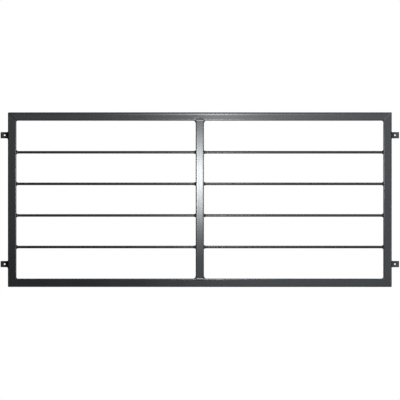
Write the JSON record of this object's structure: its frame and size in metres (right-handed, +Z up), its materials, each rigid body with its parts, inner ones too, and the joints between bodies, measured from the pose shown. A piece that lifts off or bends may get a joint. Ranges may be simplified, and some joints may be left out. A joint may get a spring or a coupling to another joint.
{
  "type": "window security bar",
  "caption": "Welded window grille: a mitred square-tube frame with a central mullion, round cross rods and drilled wall lugs.",
  "frame": {"origin": "middle of the rectangle of lug holes, on the back plane that meets the wall", "axes": "+X along the rails, to the right as seen from the front; +Y towards the wall, so the front faces -Y; +Z up along the mullion"},
  "size_m": [1.2, 0.025, 0.525],
  "materials": {
    "grey_paint": "satin anthracite powder coat",
    "painted_weld": "satin anthracite powder coat over weld beads"
  },
  "bodies": {
    "root": {"top_rail": "grey_paint", "bottom_rail": "grey_paint", "left_stile": "grey_paint", "right_stile": "grey_paint", "mullion": "grey_paint", "rod_1": "grey_paint", "rod_2": "grey_paint", "rod_3": "grey_paint", "rod_4": "grey_paint", "upper_left_lug": "grey_paint", "upper_right_lug": "grey_paint", "lower_left_lug": "grey_paint", "lower_right_lug": "grey_paint", "upper_left_corner_weld": "painted_weld", "upper_right_corner_weld": "painted_weld", "lower_left_corner_weld": "painted_weld", "lower_right_corner_weld": "painted_weld", "mullion_top_weld": "painted_weld", "mullion_bottom_weld": "painted_weld", "upper_left_lug_weld": "painted_weld", "upper_right_lug_weld": "painted_weld", "lower_left_lug_weld": "painted_weld", "lower_right_lug_weld": "painted_weld", "rod_1_left_weld": "painted_weld", "rod_1_mid_left_weld": "painted_weld", "rod_1_mid_right_weld": "painted_weld", "rod_1_right_weld": "painted_weld", "rod_2_left_weld": "painted_weld", "rod_2_mid_left_weld": "painted_weld", "rod_2_mid_right_weld": "painted_weld", "rod_2_right_weld": "painted_weld", "rod_3_left_weld": "painted_weld", "rod_3_mid_left_weld": "painted_weld", "rod_3_mid_right_weld": "painted_weld", "rod_3_right_weld": "painted_weld", "rod_4_left_weld": "painted_weld", "rod_4_mid_left_weld": "painted_weld", "rod_4_mid_right_weld": "painted_weld", "rod_4_right_weld": "painted_weld"}
  },
  "joints": []
}
